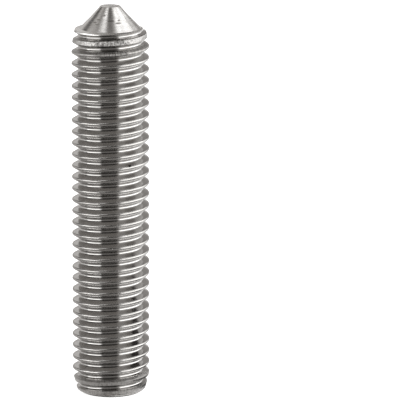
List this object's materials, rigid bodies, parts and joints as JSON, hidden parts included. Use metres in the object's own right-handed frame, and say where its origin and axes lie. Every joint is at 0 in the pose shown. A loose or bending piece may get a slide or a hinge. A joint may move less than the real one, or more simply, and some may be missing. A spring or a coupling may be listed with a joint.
{
  "type": "grub set screw",
  "caption": "Headless set screw: full-length right-hand metric thread, cone point with a small flat at one end, hexagon socket in the other.",
  "frame": {"origin": "centre of the socket end, in the plane of the rim that the screw stands on", "axes": "+Z along the screw's axis from the socket end to the cone point; X runs across two corners of the hexagon socket and Y across two of its flats"},
  "size_m": [0.0118, 0.0118, 0.0597],
  "materials": {
    "stainless_steel": "rolled and turned stainless steel, satin with bright roots"
  },
  "bodies": {
    "root": {"set_screw": "stainless_steel"}
  },
  "joints": []
}
